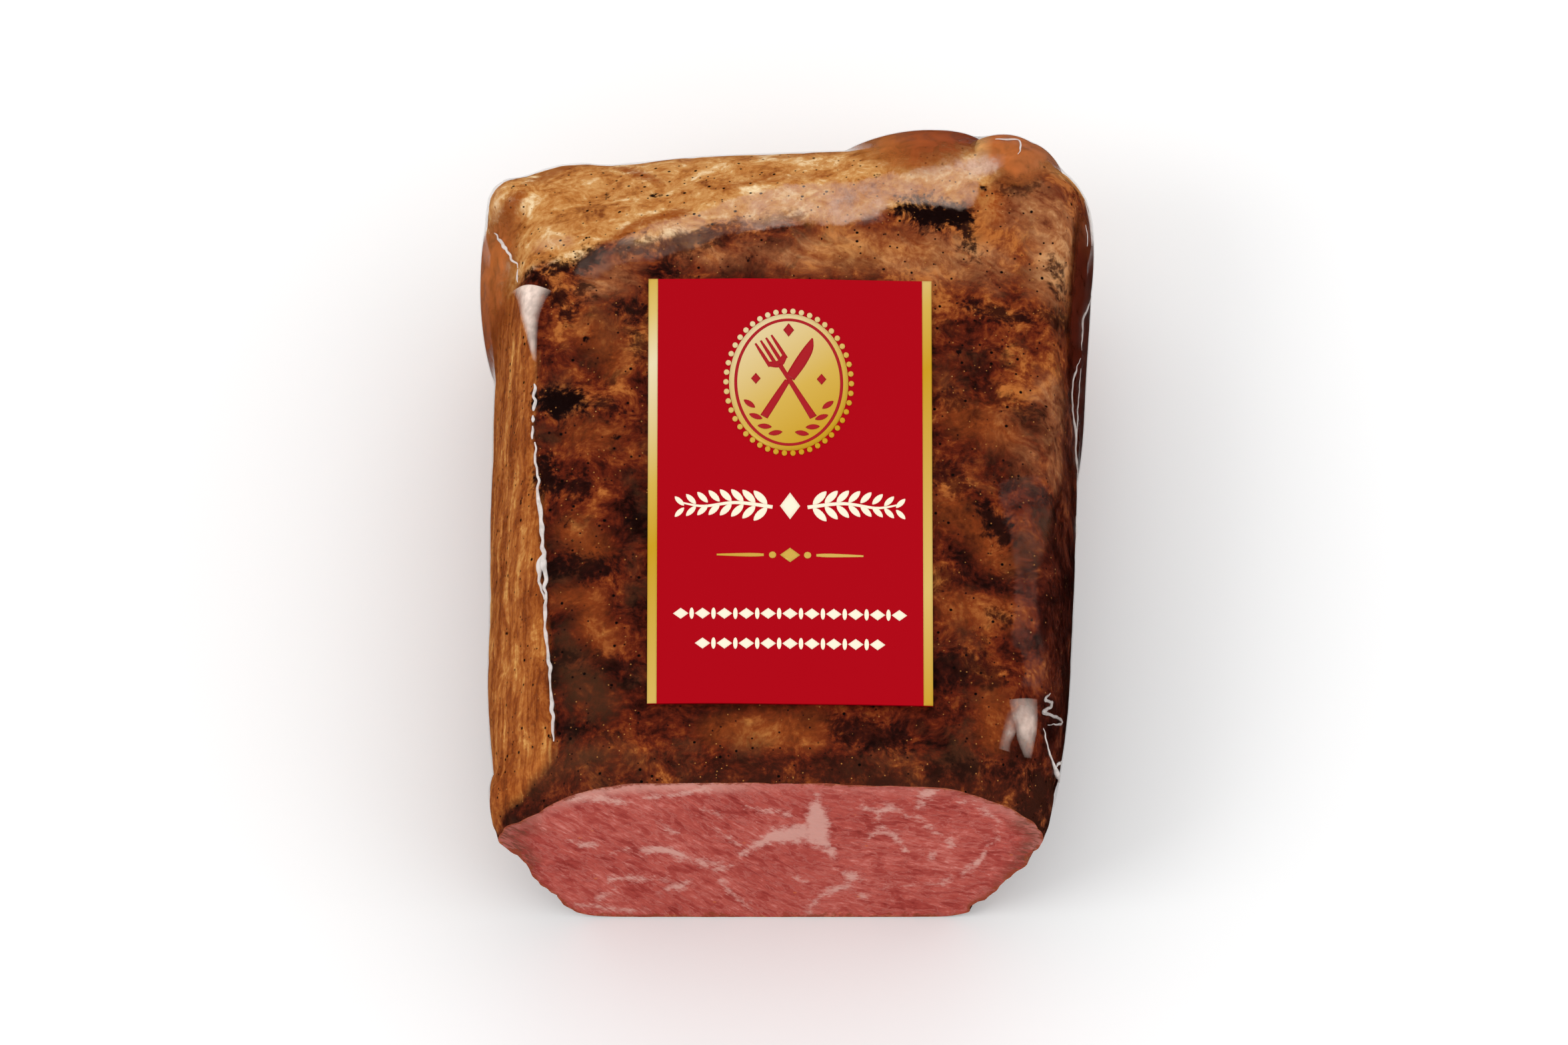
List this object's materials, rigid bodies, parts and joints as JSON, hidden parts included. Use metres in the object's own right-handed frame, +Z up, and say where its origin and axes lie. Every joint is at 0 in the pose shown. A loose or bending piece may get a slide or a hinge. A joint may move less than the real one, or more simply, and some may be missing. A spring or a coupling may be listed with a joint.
{
  "type": "packed roast beef block",
  "caption": "Block of roast beef in clear shrink film, lying flat, with one end cut open to show marbled pink meat and a printed label on top.",
  "frame": {"origin": "middle of the flat underside that the block lies on", "axes": "+X across the block, +Y from the cut face to the far end, +Z up through the label"},
  "size_m": [0.0928, 0.114, 0.0486],
  "materials": {
    "beef": "seared brown crust, moist pink marbled meat at the cut",
    "film": "clear glossy shrink film",
    "jus": "set meat jus, smooth and glossy",
    "label": "red printed label with gold foil stripes"
  },
  "bodies": {
    "root": {"roast_beef": "beef", "shrink_film": "film", "jus_pocket_far": "jus", "jus_pocket_corner": "jus", "jus_pocket_left": "jus", "jus_pocket_right": "jus", "label": "label"}
  },
  "joints": []
}
